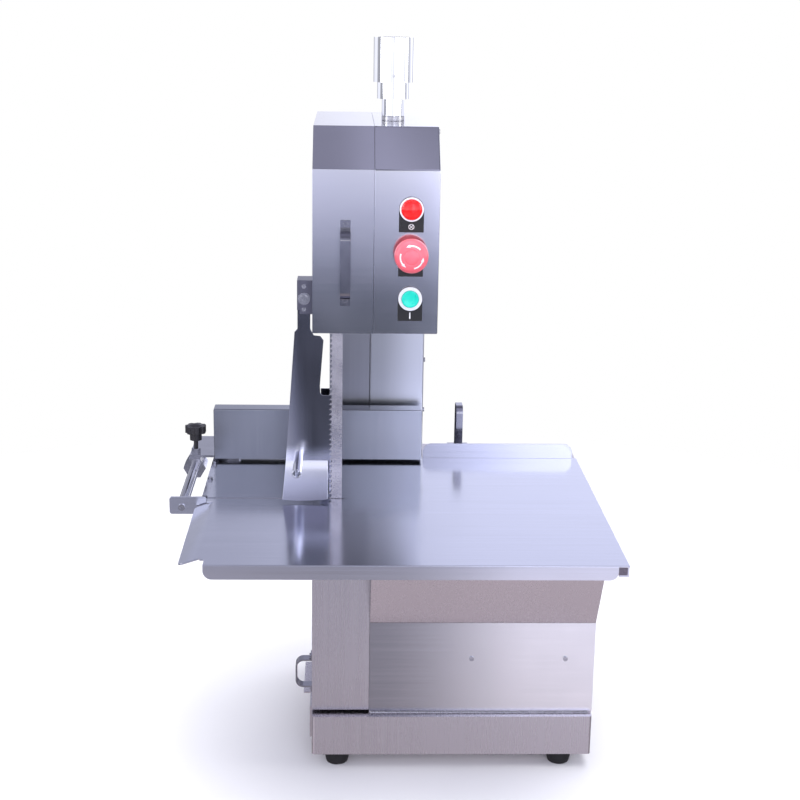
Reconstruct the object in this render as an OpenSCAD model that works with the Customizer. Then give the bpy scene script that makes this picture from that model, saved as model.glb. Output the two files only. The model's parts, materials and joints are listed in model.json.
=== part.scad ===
// Table-top band saw for meat and bone.
// Work frame: X = 0 at the blade's tooth tips, +X to the right of the blade,
// Y = 0 in the cutting run's plane with +Y towards the column, Z = 0 on the bench.
// place() then moves the whole machine so that its origin is under its middle.

/* [Blade and wheels] */
// Width of the blade, tooth tip to back edge
blade_w = 16; // [12:1:16]
// Thickness of the blade
blade_t = 0.6; // [0.5:0.1:0.8]
// Distance from tooth to tooth
tooth_pitch = 6.35; // [5:0.05:8]
// Distance between the blade's two straight runs
run_gap = 210; // [206:1:212]
// Height of the lower wheel's centre
lower_wheel_z = 183; // [181:1:186]
// Distance between the two wheels' centres
wheel_span = 495; // [490:1:498]
// How far the tension screw lets the upper wheel down
tension_travel = 8; // [4:1:8]

/* [Table and fence] */
// Height of the table's top
table_z = 342; // [342:1:344]
// Left edge of the table
table_x0 = -150; // [-160:1:-140]
// Right edge of the table
table_x1 = 334.5; // [330:0.5:344]
// Front of the table
table_y0 = -230; // [-240:1:-215]
// Back of the table
table_y1 = 177; // [174:1:178]
// Height of the fence
fence_h = 68.5; // [50:0.5:80]
// Thickness of the fence
fence_t = 26; // [20:1:26]

/* [Housings] */
// Left face of both doors
door_x0 = -20; // [-22:1:-20]
// Plane where the doors meet the fixed housings
seam_x = 52; // [52:1:54]
// Right face of the head
head_x1 = 128; // [126:1:134]
// Front of the head
head_y0 = -35; // [-38:1:-34]
// Back of the head and of the lower housing
rear_y = 250; // [250:1:254]
// Underside of the head
head_z0 = 559; // [556:1:559]
// Top of the head
head_z1 = 798; // [796:1:804]
// Size of the sloped front edge of the head's top
head_bevel = 46; // [30:1:50]
// Right face of the lower housing
body_x1 = 334.5; // [325:0.5:338]
// Front of the lower housing
body_y0 = -39; // [-42:1:-38]
// Top of the lower door
lower_door_z1 = 298; // [290:1:300]
// Thickness of the sheet metal
sheet = 1.5; // [1:0.1:2]

/* [Base and feet] */
// Height of the rubber feet
foot_h = 19; // [12:1:25]
// Radius of the rubber feet
foot_r = 15; // [12:1:18]
// Height of the base pan
pan_h = 52; // [50:1:52]
// Front of the base pan
pan_y0 = -52; // [-56:1:-48]
// Back of the base pan
pan_y1 = 255; // [253:1:258]

/* [Tension knob] */
// Radius of the knob's grip
knob_r = 24.75; // [20:0.25:28]
// Height of the knob's grip
knob_h = 53.5; // [40:0.5:60]
// Top of the knob
knob_z1 = 898; // [892:1:904]
// Radius of the cross hole for a tommy bar
tommy_r = 5; // [4:0.5:6]

/* [Hidden] */
$fn = 64;

// Sheet colours
steel = "#b9bcc4";
steel_dark = "#8f9098";
polished = "#d4d6da";
black = "#1c1c20";

// Clearances
gap = 0.3;
run_fit = 0.05;

// Wheels
wheel_y = run_gap / 2;
wheel_r = wheel_y - blade_t / 2 - gap;
upper_wheel_z = lower_wheel_z + wheel_span;
rim_x0 = -3;
rim_x1 = 21;
flange_x = blade_w + 1;
flange_r = wheel_r + 3;
axle_r = 10;
shaft_r = 12.5;

// Base
pan_x0 = door_x0;
pan_x1 = body_x1 - 1;
pan_z1 = foot_h + pan_h;
body_z1 = table_z - 2;
apron_y0 = table_y0 + 108;

// Column
post_x1 = 125;
post_y0 = 195;
post_y1 = rear_y - 2;
cover_x0 = -1.8;
post_wall = 3;

// Tension unit
screw_x = 76;
screw_r = 7;
rod_dy = 30;
rod_r = 7;
bush_top = head_z1 + 5.5;
collar_r = 20;
collar_h = 20;
stem_r = 14;
grip_z0 = knob_z1 - knob_h;
tommy_drop = 11;

// Left flange of the table: its bend and its back end
bend_x = table_x0 + 10;
flange_y1 = -14;

// Fence and its rod
fence_x0 = -155;
fence_x1 = 122;
fence_y1 = table_y1 + 1;
fence_y0 = fence_y1 - fence_t;
fence_z0 = table_z + 4;
slide_x = -181;
hex_r = 15;
slide_z = fence_z0 - hex_r * cos(30) + 0.2;
slide_r = 6.5;

// Guide pads
pad_t = 5.4;

// Door hinges
hinge_x = seam_x;
hinge_y = rear_y + 6;
knuckle_r = 5;
pin_r = 2.5;
knuckle_h = 16;
upper_hinges = [head_z0 + 30, head_z1 - 80];
lower_hinges = [pan_z1 + 20, lower_door_z1 - 70];
lower_door_z0 = pan_z1 + 3;

// Pusher
pivot_x = -30.7;
pivot_z = 594;
pusher_y = 3.2;
pusher_t = 2;

// Controls, from the top: lamp, stop, start
control_x = 95;
control_z = [707, 655, 602];
plate_t = 1.2;
hole_r = 11;

// Scrap drawer
drawer_y0 = -6;
drawer_y1 = 166;
drawer_x1 = 160;
drawer_z0 = foot_h + 5;
drawer_z1 = foot_h + 43;

// Motor
motor_x0 = 60;
frame_x0 = 84;
frame_x1 = 240;
frame_r = 60;
bearing_r = 26;
bearing_w = 15;

// Machine outline, used to centre the origin
machine_x0 = slide_x - hex_r;
gland_y1 = rear_y + 27;
machine_x1 = max(table_x1, body_x1);
x_mid = (machine_x0 + machine_x1) / 2;
y_mid = (table_y0 + gland_y1) / 2;

// ---------- helpers ----------

module place() {
    translate([-x_mid, -y_mid, 0]) children();
}

// A block between two corners
module block(x0, x1, y0, y1, z0, z1) {
    translate([x0, y0, z0]) cube([x1 - x0, y1 - y0, z1 - z0]);
}

// Cylinders along each axis, given by their ends
module xrod(x0, x1, y, z, r) {
    translate([x0, y, z]) rotate([0, 90, 0]) cylinder(r = r, h = x1 - x0);
}

module yrod(x, y0, y1, z, r) {
    translate([x, y1, z]) rotate([90, 0, 0]) cylinder(r = r, h = y1 - y0);
}

module zrod(x, y, z0, z1, r) {
    translate([x, y, z0]) cylinder(r = r, h = z1 - z0);
}

// A profile drawn in Y and Z, extruded along X
module along_x(x0, x1) {
    translate([x0, 0, 0]) rotate([90, 0, 90]) linear_extrude(x1 - x0) children();
}

// A profile drawn in X and Z, extruded along Y
module along_y(y0, y1) {
    translate([0, y1, 0]) rotate([90, 0, 0]) linear_extrude(y1 - y0) children();
}

// A rectangle with four round corners
module round_rect(x0, x1, y0, y1, r) {
    translate([x0 + r, y0]) square([x1 - x0 - 2 * r, y1 - y0]);
    translate([x0, y0 + r]) square([x1 - x0, y1 - y0 - 2 * r]);
    for (x = [x0 + r, x1 - r])
        for (y = [y0 + r, y1 - r])
            translate([x, y]) circle(r);
}

// A socket screw head that sits on a plane and looks along +Z
module screw_head(r = 3.5, h = 2.4) {
    difference() {
        cylinder(r = r, h = h);
        translate([0, 0, h / 2]) cylinder(r = r * 0.5, h = h, $fn = 6);
    }
}

// A flat strip bent into a bow: feet on the plane z = 0, span along Y
module bow(span, rise, width, t, foot) {
    inner_r = 8;
    outer_r = inner_r + t;
    difference() {
        translate([-width / 2, 0, 0]) along_x(0, width) difference() {
            union() {
                round_rect(-span / 2, span / 2, -outer_r, rise, outer_r);
                translate([-span / 2 - foot, 0]) square([span + 2 * foot, t]);
            }
            round_rect(-span / 2 + t, span / 2 - t, -2 * outer_r, rise - t, inner_r);
            translate([-span, -3 * outer_r]) square([2 * span, 3 * outer_r]);
        }
        translate([-width, -span / 2 + t, -1]) cube([2 * width, span - 2 * t, t + 1]);
    }
}

// ---------- base ----------

module base_pan() place() color(steel) {
    corner = 4;
    difference() {
        block(pan_x0, pan_x1, pan_y0, pan_y1, foot_h, pan_z1);
        block(pan_x0 + sheet, pan_x1 - sheet, pan_y0 + sheet, pan_y1 - sheet,
            foot_h + sheet, pan_z1 - sheet);
        // Opening in the floor, which leaves a flange for the feet
        block(pan_x0 + 45, pan_x1 - 45, pan_y0 + 30, pan_y1 - 30, foot_h - 1, foot_h + 2 * sheet);
        // Opening in the left side for the drawer
        block(pan_x0 - 1, pan_x0 + 3, drawer_y0 - 1, drawer_y1 + 1, drawer_z0 - 1, drawer_z1 + 1);
        // Opening in the top, under the lower wheel
        block(rim_x0 - 5, rim_x1 + 5, 0, run_gap, pan_z1 - 2 * sheet, pan_z1 + 1);
        for (x = foot_xs)
            for (y = foot_ys)
                zrod(x, y, foot_h - 1, foot_h + 2 * sheet, 3.2);
        // Round upright corners
        for (y = [pan_y0, pan_y1])
            for (x = [pan_x0, pan_x1])
                corner_cut(x, y, corner);
    }
}

// Takes the sharp edge off one upright corner of the base pan
module corner_cut(x, y, r) {
    sx = x == pan_x0 ? 1 : -1;
    sy = y == pan_y0 ? 1 : -1;
    difference() {
        translate([x - r * (1 - sx) / 2, y - r * (1 - sy) / 2, foot_h - 1]) cube([r, r, pan_h + 2]);
        translate([x + sx * r, y + sy * r, foot_h - 2]) cylinder(r = r, h = pan_h + 4);
    }
}

foot_xs = [12, 296];
foot_ys = [pan_y0 + 22, pan_y1 - 22];

module rubber_feet() place() color(black)
    for (x = foot_xs)
        for (y = foot_ys)
            difference() {
                translate([x, y, 0]) union() {
                    cylinder(r1 = foot_r - 1.5, r2 = foot_r, h = foot_h / 3);
                    translate([0, 0, foot_h / 3]) cylinder(r = foot_r, h = foot_h * 2 / 3);
                }
                zrod(x, y, -1, foot_h - 5, 7);
                zrod(x, y, -1, foot_h + 1, 3.2);
            }

module foot_screws() place() color(polished)
    for (x = foot_xs)
        for (y = foot_ys) {
            zrod(x, y, foot_h - 8.5, foot_h - 5, 5);
            zrod(x, y, foot_h - 5, foot_h + 9, 3);
            translate([x, y, foot_h + sheet + 0.1]) cylinder(r = 5.5, h = 4.5, $fn = 6);
        }

module scrap_drawer() place() color(steel) {
    face_t = 3;
    side = 1.5;
    difference() {
        union() {
            block(pan_x0 - gap - face_t, pan_x0 - gap, drawer_y0 - 4, drawer_y1 + 4,
                drawer_z0 - 2, drawer_z1 + 2);
            block(pan_x0 - gap - 1, drawer_x1, drawer_y0, drawer_y1, drawer_z0, drawer_z1);
        }
        block(pan_x0, drawer_x1 - side, drawer_y0 + side, drawer_y1 - side,
            drawer_z0 + side, drawer_z1 + 1);
    }
    // Finger lip along the top of the drawer's face
    block(pan_x0 - gap - face_t - 9, pan_x0 - gap - face_t, drawer_y0 + 40, drawer_y1 - 40,
        drawer_z1, drawer_z1 + 2);
}

// ---------- lower housing ----------

gland_x = 280;
gland_z = 112;
panel_z1 = 193;
panel_screws = [[180, 145], [298, 145]];

module lower_housing() place() color(steel) difference() {
    union() {
        block(seam_x, body_x1, body_y0, rear_y, pan_z1, body_z1);
        block(door_x0, seam_x + 1, body_y0, rear_y, lower_door_z1 + 2, body_z1);
    }
    block(seam_x - 1, body_x1 - sheet, body_y0 + sheet, rear_y - sheet, pan_z1 - 1, body_z1 - sheet);
    block(door_x0 + sheet, seam_x + 2, body_y0 + sheet, rear_y - sheet,
        lower_door_z1 + 1, body_z1 - sheet);
    // Slots that let the blade come out to the left
    for (y = [0, run_gap])
        block(door_x0 - 1, blade_w + 6, y - 3, y + 3, lower_door_z1, body_z1 + 1);
    // Hole for the column
    block(seam_x, post_x1, post_y0, post_y1, body_z1 - 2 * sheet, body_z1 + 1);
    // Opening behind the service panel
    block(seam_x + 18, body_x1 - 18, body_y0 - 1, body_y0 + 3, pan_z1 + 18, panel_z1 - 14);
    for (p = panel_screws)
        yrod(p[0], body_y0 - 1, body_y0 + 3, p[1], 2.1);
    // Cooling slots behind the motor
    for (i = [0 : 7])
        block(190, 262, rear_y - 3, rear_y + 1, 150 + i * 14, 155 + i * 14);
    yrod(gland_x, rear_y - 3, rear_y + 1, gland_z, 10.05);
}

module service_panel() place() color(polished) difference() {
    block(seam_x, body_x1, body_y0 - sheet, body_y0, pan_z1 + 2.5, panel_z1);
    for (p = panel_screws)
        yrod(p[0], body_y0 - 3, body_y0 + 1, p[1], 2.1);
}

// Sloping support between the housing's front and the table's underside
module table_apron() place() color(steel_dark) {
    difference() {
        along_x(seam_x, body_x1) polygon([
            [body_y0, panel_z1 + 0.5], [body_y0 - sheet, panel_z1 + 0.5],
            [apron_y0, body_z1 - 2], [apron_y0, body_z1], [body_y0, body_z1]
        ]);
        along_x(seam_x + sheet, body_x1 - sheet) polygon([
            [body_y0 + 1, panel_z1 + 3], [body_y0 - 0.3, panel_z1 + 3],
            [apron_y0 + 4, body_z1 - 0.5], [apron_y0 + 4, body_z1 + 1], [body_y0 + 1, body_z1 + 1]
        ]);
    }
}

module motor_plate() place() color(steel_dark) difference() {
    block(motor_x0 - 6, motor_x0, body_y0 + sheet, post_y0 - 1, pan_z1, body_z1 - sheet);
    xrod(motor_x0 - 7, motor_x0 + 1, wheel_y, lower_wheel_z, 32);
    motor_bolts(motor_x0 - 7, motor_x0 + 1, 4.1);
}

// Four bolts or holes round the motor's flange
module motor_bolts(x0, x1, r) {
    for (a = [45 : 90 : 315])
        xrod(x0, x1, wheel_y + 75 * cos(a), lower_wheel_z + 75 * sin(a), r);
}

// ---------- column and head ----------

module column_post() place() color(steel) difference() {
    block(seam_x, post_x1, post_y0, post_y1, pan_z1, head_z1 - 30);
    block(seam_x + post_wall, post_x1 - post_wall, post_y0 + post_wall, post_y1 - post_wall,
        pan_z1 - 1, head_z1);
}

module blade_cover() place() color(steel) difference() {
    block(cover_x0, seam_x, post_y0, post_y1, body_z1, head_z0 - 0.5);
    block(cover_x0 + sheet, seam_x + 1, post_y0 + sheet, post_y1 - sheet, body_z1 - 1, head_z0);
}

// Side outline of the head, shrunk by a wall thickness
module head_profile(t) {
    b = head_bevel - t * (2 - sqrt(2));
    polygon([
        [head_y0 + t, head_z0 + t], [rear_y - t, head_z0 + t], [rear_y - t, head_z1 - t],
        [head_y0 + t + b, head_z1 - t], [head_y0 + t, head_z1 - t - b]
    ]);
}

module head_housing() place() color(steel_dark) difference() {
    along_x(seam_x, head_x1) head_profile(0);
    along_x(seam_x - 1, head_x1 - sheet) head_profile(sheet);
    block(seam_x - 1, post_x1, post_y0, post_y1, head_z0 - 1, head_z0 + 2 * sheet);
    for (z = control_z)
        yrod(control_x, head_y0 - 1, head_y0 + 3, z, hole_r);
    zrod(screw_x, wheel_y, head_z1 - 3, head_z1 + 1, 12.1);
}

// Plate that carries the tension unit's guide rods between two welded blocks
module head_plate() place() color(steel_dark) {
    plate_x0 = seam_x + 0.5;
    plate_x1 = plate_x0 + 5;
    block_x1 = screw_x + 16;
    block_y = [wheel_y - 46, wheel_y + 46];
    slot_r = 16;
    bevel_gap = 4;
    low = upper_wheel_z - tension_travel - slot_r;
    difference() {
        union() {
            block(plate_x0, plate_x1, head_y0 + sheet, post_y0, head_z0 + sheet, head_z1 - sheet);
            block(plate_x0, block_x1, block_y[0], block_y[1], head_z0 + sheet, head_z0 + 20);
            block(plate_x0, block_x1, block_y[0], block_y[1], head_z1 - 26, head_z1 - sheet);
        }
        block(plate_x0 - 1, plate_x1 + 1, wheel_y - slot_r, wheel_y + slot_r, low, upper_wheel_z + slot_r);
        for (side = [-1, 1])
            zrod(screw_x, wheel_y + side * rod_dy, head_z0 + 8, head_z1 - 5, rod_r + 0.02);
        zrod(screw_x, wheel_y, head_z1 - 27, head_z1, 12.1);
        // The front of the plate stays back from the bevel
        along_x(plate_x0 - 1, plate_x1 + 1) polygon([
            [head_y0, head_z1 - head_bevel - bevel_gap], [head_y0, head_z1],
            [head_y0 + head_bevel + bevel_gap, head_z1]
        ]);
    }
}

module carriage_rods() place() color(polished)
    for (side = [-1, 1])
        zrod(screw_x, wheel_y + side * rod_dy, head_z0 + 8.1, head_z1 - 5.1, rod_r);

module tension_bush() place() color(steel_dark) difference() {
    union() {
        zrod(screw_x, wheel_y, head_z1 - 25, head_z1, 12);
        zrod(screw_x, wheel_y, head_z1, bush_top, stem_r);
    }
    zrod(screw_x, wheel_y, head_z1 - 27, bush_top + 1, screw_r + run_fit);
}

// ---------- tension unit ----------

module tension_carriage() place() color(steel_dark) {
    z0 = upper_wheel_z - 28;
    z1 = upper_wheel_z + 38;
    difference() {
        block(seam_x + 8, screw_x + 22, wheel_y - 45, wheel_y + 45, z0, z1);
        for (side = [-1, 1])
            zrod(screw_x, wheel_y + side * rod_dy, z0 - 1, z1 + 1, rod_r + run_fit);
        zrod(screw_x, wheel_y, upper_wheel_z + 13, z1 + 1, screw_r + run_fit);
        xrod(seam_x + 7, screw_x + 23, wheel_y, upper_wheel_z, axle_r + 0.02);
    }
}

// Axle, with its shoulder and the nut and washer that hold the wheel
module upper_axle() place() color(polished) {
    xrod(-16, screw_x + 22, wheel_y, upper_wheel_z, axle_r);
    xrod(24.8, seam_x + 8, wheel_y, upper_wheel_z, 14);
    xrod(-8, -5.6, wheel_y, upper_wheel_z, 15);
    translate([-15, wheel_y, upper_wheel_z]) rotate([0, 90, 0]) cylinder(r = 15, h = 7, $fn = 6);
}

module tension_knob() place() color(polished) difference() {
    union() {
        zrod(screw_x, wheel_y, upper_wheel_z + 16, grip_z0, screw_r);
        zrod(screw_x, wheel_y, bush_top + gap, grip_z0 - collar_h, stem_r);
        zrod(screw_x, wheel_y, grip_z0 - collar_h, grip_z0, collar_r);
        zrod(screw_x, wheel_y, grip_z0, knob_z1, knob_r);
    }
    yrod(screw_x, wheel_y - knob_r - 1, wheel_y + knob_r + 1, knob_z1 - tommy_drop, tommy_r);
    // Grub screw hole low in the grip
    yrod(screw_x, wheel_y - knob_r - 1, wheel_y - 10, grip_z0 + 8, 2);
    // Shallow dish in the top
    zrod(screw_x, wheel_y, knob_z1 - 1.5, knob_z1 + 1, knob_r - 5);
}

// A band wheel: rim, back flange, web with round holes, and hub
module band_wheel(z, bore) {
    holes = 5;
    difference() {
        union() {
            xrod(rim_x0, flange_x, wheel_y, z, wheel_r);
            xrod(flange_x, rim_x1, wheel_y, z, flange_r);
            xrod(-6, 24.5, wheel_y, z, 30);
        }
        for (side = [[rim_x0 - 1, 5], [13, rim_x1 + 1]])
            difference() {
                xrod(side[0], side[1], wheel_y, z, wheel_r - 9);
                xrod(side[0] - 1, side[1] + 1, wheel_y, z, 30);
            }
        for (i = [0 : holes - 1])
            xrod(4, 14, wheel_y + 63 * cos(i * 360 / holes), z + 63 * sin(i * 360 / holes), 21);
        xrod(-7, 26, wheel_y, z, bore);
    }
}

module upper_wheel() place() color(steel) band_wheel(upper_wheel_z, 21.02);

module lower_wheel() place() color(steel) band_wheel(lower_wheel_z, shaft_r + 0.02);

module wheel_bearings() place() color(polished)
    for (x = [-5, 11])
        difference() {
            xrod(x, x + 12, wheel_y, upper_wheel_z, 21);
            xrod(x - 1, x + 13, wheel_y, upper_wheel_z, axle_r + run_fit);
            // Groove on each side, between the two rings
            for (side = [x - 1, x + 11])
                difference() {
                    xrod(side, side + 2, wheel_y, upper_wheel_z, 17.5);
                    xrod(side - 1, side + 3, wheel_y, upper_wheel_z, 13.5);
                }
        }

// ---------- blade and its guides ----------

// A round-ended loop outline in Y and Z, at a distance r from the wheels' centres
module loop_outline(r) {
    for (z = [lower_wheel_z, upper_wheel_z])
        translate([wheel_y, z]) circle(r, $fn = 180);
    translate([wheel_y - r, lower_wheel_z]) square([2 * r, wheel_span]);
}

module band_blade() place() color(polished) {
    depth = tooth_pitch * 0.45;
    back = wheel_y + blade_t / 2;
    difference() {
        along_x(0, blade_w) difference() {
            loop_outline(back);
            loop_outline(back - blade_t);
        }
        // Tooth gullets along both straight runs
        for (y = [0, run_gap])
            for (i = [0 : floor(wheel_span / tooth_pitch) - 1])
                gullet(y, lower_wheel_z + (i + 0.5) * tooth_pitch, depth, y == 0 ? 1 : -1);
    }
}

// The gap below one tooth: up = 1 where the teeth point down
module gullet(y, z, depth, up) {
    along_y(y - 2, y + 2) polygon([
        [-1, z - up * tooth_pitch * 0.05], [0, z],
        [depth * 0.9, z + up * tooth_pitch * 0.1], [depth, z + up * tooth_pitch * 0.35],
        [depth * 0.8, z + up * tooth_pitch * 0.6], [0, z + up * tooth_pitch * 0.97],
        [-1, z + up * tooth_pitch * 1.0]
    ]);
}

upper_guide_z = head_z0 + 6;
lower_guide_z = 300;
guide_h = 28;

// Block behind the blade's back edge, slotted to carry two side pads
module guide_block(z, x1) {
    difference() {
        block(3, x1, -12, 12, z, z + guide_h);
        block(2, blade_w + 1.5, -6, 6, z - 1, z + guide_h + 1);
        xrod(x1 - 12, x1 + 1, 0, z + guide_h / 2, 3.1);
    }
}

module upper_guide() place() color(steel_dark) guide_block(upper_guide_z, seam_x + 0.5);

module lower_guide() place() color(steel_dark) guide_block(lower_guide_z, motor_x0 - 6);

module guide_pads() place() color("goldenrod")
    for (z = [upper_guide_z, lower_guide_z])
        for (side = [-1, 1])
            translate([4.5, side > 0 ? blade_t / 2 + gap : -blade_t / 2 - gap - pad_t, z + 3])
                cube([blade_w - 4, pad_t, guide_h - 6]);

// Plastic wiper above the lower wheel's rim, on a steel arm
module wheel_scraper() place() color("ivory") {
    z0 = lower_wheel_z + flange_r + gap;
    block(rim_x0, motor_x0 - 6, wheel_y - 18, wheel_y + 18, z0 + 6, z0 + 9);
    block(rim_x0, rim_x1, wheel_y - 3, wheel_y + 3, z0 + 0.2, z0 + 6);
}

// ---------- motor ----------

module motor_frame() place() color("#5b6470") {
    fins = 28;
    difference() {
        union() {
            xrod(frame_x0, frame_x1, wheel_y, lower_wheel_z, frame_r);
            for (i = [0 : fins - 1])
                if (abs(i * 360 / fins - 90) > 35)
                    translate([frame_x0, wheel_y, lower_wheel_z]) rotate([i * 360 / fins, 0, 0])
                        translate([4, frame_r - 2, -1.2]) cube([frame_x1 - frame_x0 - 8, 9, 2.4]);
        }
        xrod(frame_x0 - 1, frame_x1 + 1, wheel_y, lower_wheel_z, frame_r - 4);
    }
}

module motor_end_bells() place() color("#5b6470") {
    difference() {
        union() {
            xrod(motor_x0, motor_x0 + 8, wheel_y, lower_wheel_z, 85);
            xrod(motor_x0, frame_x0, wheel_y, lower_wheel_z, frame_r);
        }
        xrod(motor_x0 - 1, frame_x0 + 1, wheel_y, lower_wheel_z, 15);
        xrod(frame_x0 - bearing_w - 3, frame_x0 + 1, wheel_y, lower_wheel_z, bearing_r);
        motor_bolts(motor_x0 - 1, motor_x0 + 9, 4.1);
    }
    difference() {
        xrod(frame_x1, frame_x1 + 16, wheel_y, lower_wheel_z, frame_r);
        xrod(frame_x1 - 1, frame_x1 + 17, wheel_y, lower_wheel_z, 15);
        xrod(frame_x1 - 1, frame_x1 + bearing_w - 2, wheel_y, lower_wheel_z, bearing_r);
    }
}

module motor_bearings() place() color(polished)
    for (x = [frame_x0 - bearing_w - 3, frame_x1 - 2])
        difference() {
            xrod(x, x + bearing_w, wheel_y, lower_wheel_z, bearing_r - 0.02);
            xrod(x - 1, x + bearing_w + 1, wheel_y, lower_wheel_z, shaft_r + run_fit);
        }

module motor_stator() place() color("#b87333") {
    core_x0 = 105;
    core_x1 = 215;
    difference() {
        union() {
            xrod(core_x0, core_x1, wheel_y, lower_wheel_z, frame_r - 4.02);
            xrod(core_x0 - 12, core_x1 + 12, wheel_y, lower_wheel_z, 50);
        }
        xrod(core_x0 - 13, core_x1 + 13, wheel_y, lower_wheel_z, 34.5);
    }
}

// Shaft, laminated core, and the nut that holds the lower wheel
module motor_rotor() place() color(steel_dark) {
    xrod(-15, 253, wheel_y, lower_wheel_z, shaft_r);
    xrod(253, 276, wheel_y, lower_wheel_z, 8);
    xrod(105, 215, wheel_y, lower_wheel_z, 34);
    xrod(24.6, motor_x0 - 8, wheel_y, lower_wheel_z, 17);
    xrod(-8, -6.1, wheel_y, lower_wheel_z, 19);
    translate([-15, wheel_y, lower_wheel_z]) rotate([0, 90, 0]) cylinder(r = 18, h = 7, $fn = 6);
}

module motor_fan() place() color(black) {
    blades = 8;
    difference() {
        union() {
            xrod(259, 274, wheel_y, lower_wheel_z, 16);
            xrod(259, 262, wheel_y, lower_wheel_z, 50);
            for (i = [0 : blades - 1])
                translate([260, wheel_y, lower_wheel_z]) rotate([i * 360 / blades, 0, 0])
                    translate([0, 14, -1]) cube([15, 38, 2]);
        }
        xrod(258, 277, wheel_y, lower_wheel_z, 8.02);
    }
}

module fan_cover() place() color("#3a3f48") {
    x1 = frame_x1 + 50;
    difference() {
        xrod(frame_x1 + 2, x1, wheel_y, lower_wheel_z, frame_r + 2);
        xrod(frame_x1 + 1, x1 - 1.5, wheel_y, lower_wheel_z, frame_r + 0.1);
        for (i = [-4 : 4])
            block(x1 - 3, x1 + 1, wheel_y - 40 + abs(i) * 4, wheel_y + 40 - abs(i) * 4,
                lower_wheel_z + i * 10 - 2.5, lower_wheel_z + i * 10 + 2.5);
    }
}

module terminal_box() place() color("#3a3f48") difference() {
    block(120, 185, wheel_y - 30, wheel_y + 30, lower_wheel_z + 56, lower_wheel_z + 92);
    xrod(119, 186, wheel_y, lower_wheel_z, frame_r + 0.1);
    block(123, 182, wheel_y - 27, wheel_y + 27, lower_wheel_z + frame_r + 4, lower_wheel_z + 89);
}

// Starter box behind the service panel, with its lid screws
module control_box() place() color("#2c2f36") {
    x0 = 140;
    x1 = 250;
    y1 = 26;
    z0 = 96;
    z1 = 196;
    difference() {
        block(x0, x1, body_y0 + 8, y1, z0, z1);
        block(x0 + 3, x1 - 3, body_y0 + 11, y1 - 3, z0 + 3, z1 - 3);
    }
    for (x = [x0 + 8, x1 - 8])
        for (z = [z0 + 8, z1 - 8])
            translate([x, body_y0 + 8, z]) rotate([90, 0, 0]) screw_head(3, 2);
}

module cable_gland() place() color(black) difference() {
    union() {
        yrod(gland_x, rear_y - sheet - 8, rear_y + 4, gland_z, 10);
        translate([gland_x, rear_y + 8, gland_z]) rotate([90, 0, 0]) cylinder(r = 14, h = 8, $fn = 6);
        yrod(gland_x, rear_y + 8, gland_y1 - 4, gland_z, 12);
        yrod(gland_x, gland_y1 - 4, gland_y1, gland_z, 9);
        translate([gland_x, rear_y - sheet, gland_z]) rotate([90, 0, 0])
            cylinder(r = 14, h = 5, $fn = 6);
    }
    yrod(gland_x, rear_y - sheet - 9, gland_y1 + 1, gland_z, 5);
}

// Strip handle on top of the housing, behind the table
module lifting_handle() place() color(polished) {
    translate([177, 231, body_z1 + 2]) bow(34, 61, 9, 2, 0);
    block(163, 191, 205, 249, body_z1, body_z1 + 2);
    for (x = [167.5, 186.5])
        translate([x, 225.5, body_z1 + 2]) screw_head(3, 2);
}

// ---------- controls ----------

module legend_plates() place() color(black)
    for (z = control_z)
        along_y(head_y0 - plate_t, head_y0) difference() {
            union() {
                translate([control_x, z]) circle(14.5);
                translate([control_x - 14.5, z - 27]) square([29, 27]);
            }
            translate([control_x, z]) circle(hole_r + 0.3);
        }

// The fixed rings and necks of the lamp and of both buttons
module button_bezels() place() color(polished) {
    front = head_y0 - plate_t;
    for (i = [0, 2])
        difference() {
            union() {
                yrod(control_x, front - 4, front, control_z[i], 14);
                yrod(control_x, front - 1, head_y0 + 12, control_z[i], hole_r - 0.2);
            }
            yrod(control_x, front - 5, head_y0 + 13, control_z[i], i == 0 ? 10 : 10.2);
            if (i == 0)
                yrod(control_x, front - 5, front - 2, control_z[i], 12.1);
        }
    difference() {
        union() {
            yrod(control_x, front - 9, front, control_z[1], 14);
            yrod(control_x, front - 1, head_y0 + 12, control_z[1], hole_r - 0.2);
        }
        yrod(control_x, front - 10, head_y0 + 13, control_z[1], 8.5);
    }
}

module lamp_lens() place() color("red") {
    front = head_y0 - plate_t;
    rim = 12;
    yrod(control_x, front - 5, front - 2, control_z[0], rim);
    yrod(control_x, front - 2, head_y0 + 10, control_z[0], 9.9);
    translate([control_x, front - 5, control_z[0]]) rotate([90, 0, 0]) dome(rim - 0.6, 4);
}

// A shallow spherical cap of radius r and height h
module dome(r, h) {
    ball = (r * r + h * h) / (2 * h);
    intersection() {
        translate([0, 0, h - ball]) sphere(ball);
        cylinder(r = r + 1, h = h + 1);
    }
}

module estop_button() place() color("crimson") {
    front = head_y0 - plate_t;
    travel = 4;
    yrod(control_x, front - 9 - travel - 1, head_y0 + 4, control_z[1], 8.2);
    yrod(control_x, front - 9 - travel - 1 - 9, front - 9 - travel - 0.6, control_z[1], 20);
    translate([control_x, front - 9 - travel - 10, control_z[1]]) rotate([90, 0, 0]) dome(19, 6);
}

module start_button() place() color("teal") {
    front = head_y0 - plate_t;
    yrod(control_x, front - 5, head_y0 + 8, control_z[2], 10);
    translate([control_x, front - 5, control_z[2]]) rotate([90, 0, 0]) dome(9.4, 1.2);
}

// Lamp holder and switch blocks behind the head's front
module contact_blocks() place() color("#e8e8ea")
    for (z = control_z)
        difference() {
            block(control_x - 15, control_x + 15, head_y0 + sheet, head_y0 + 48, z - 20, z + 20);
            yrod(control_x, head_y0, head_y0 + 13, z, hole_r + 0.1);
        }

// ---------- doors ----------

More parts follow.
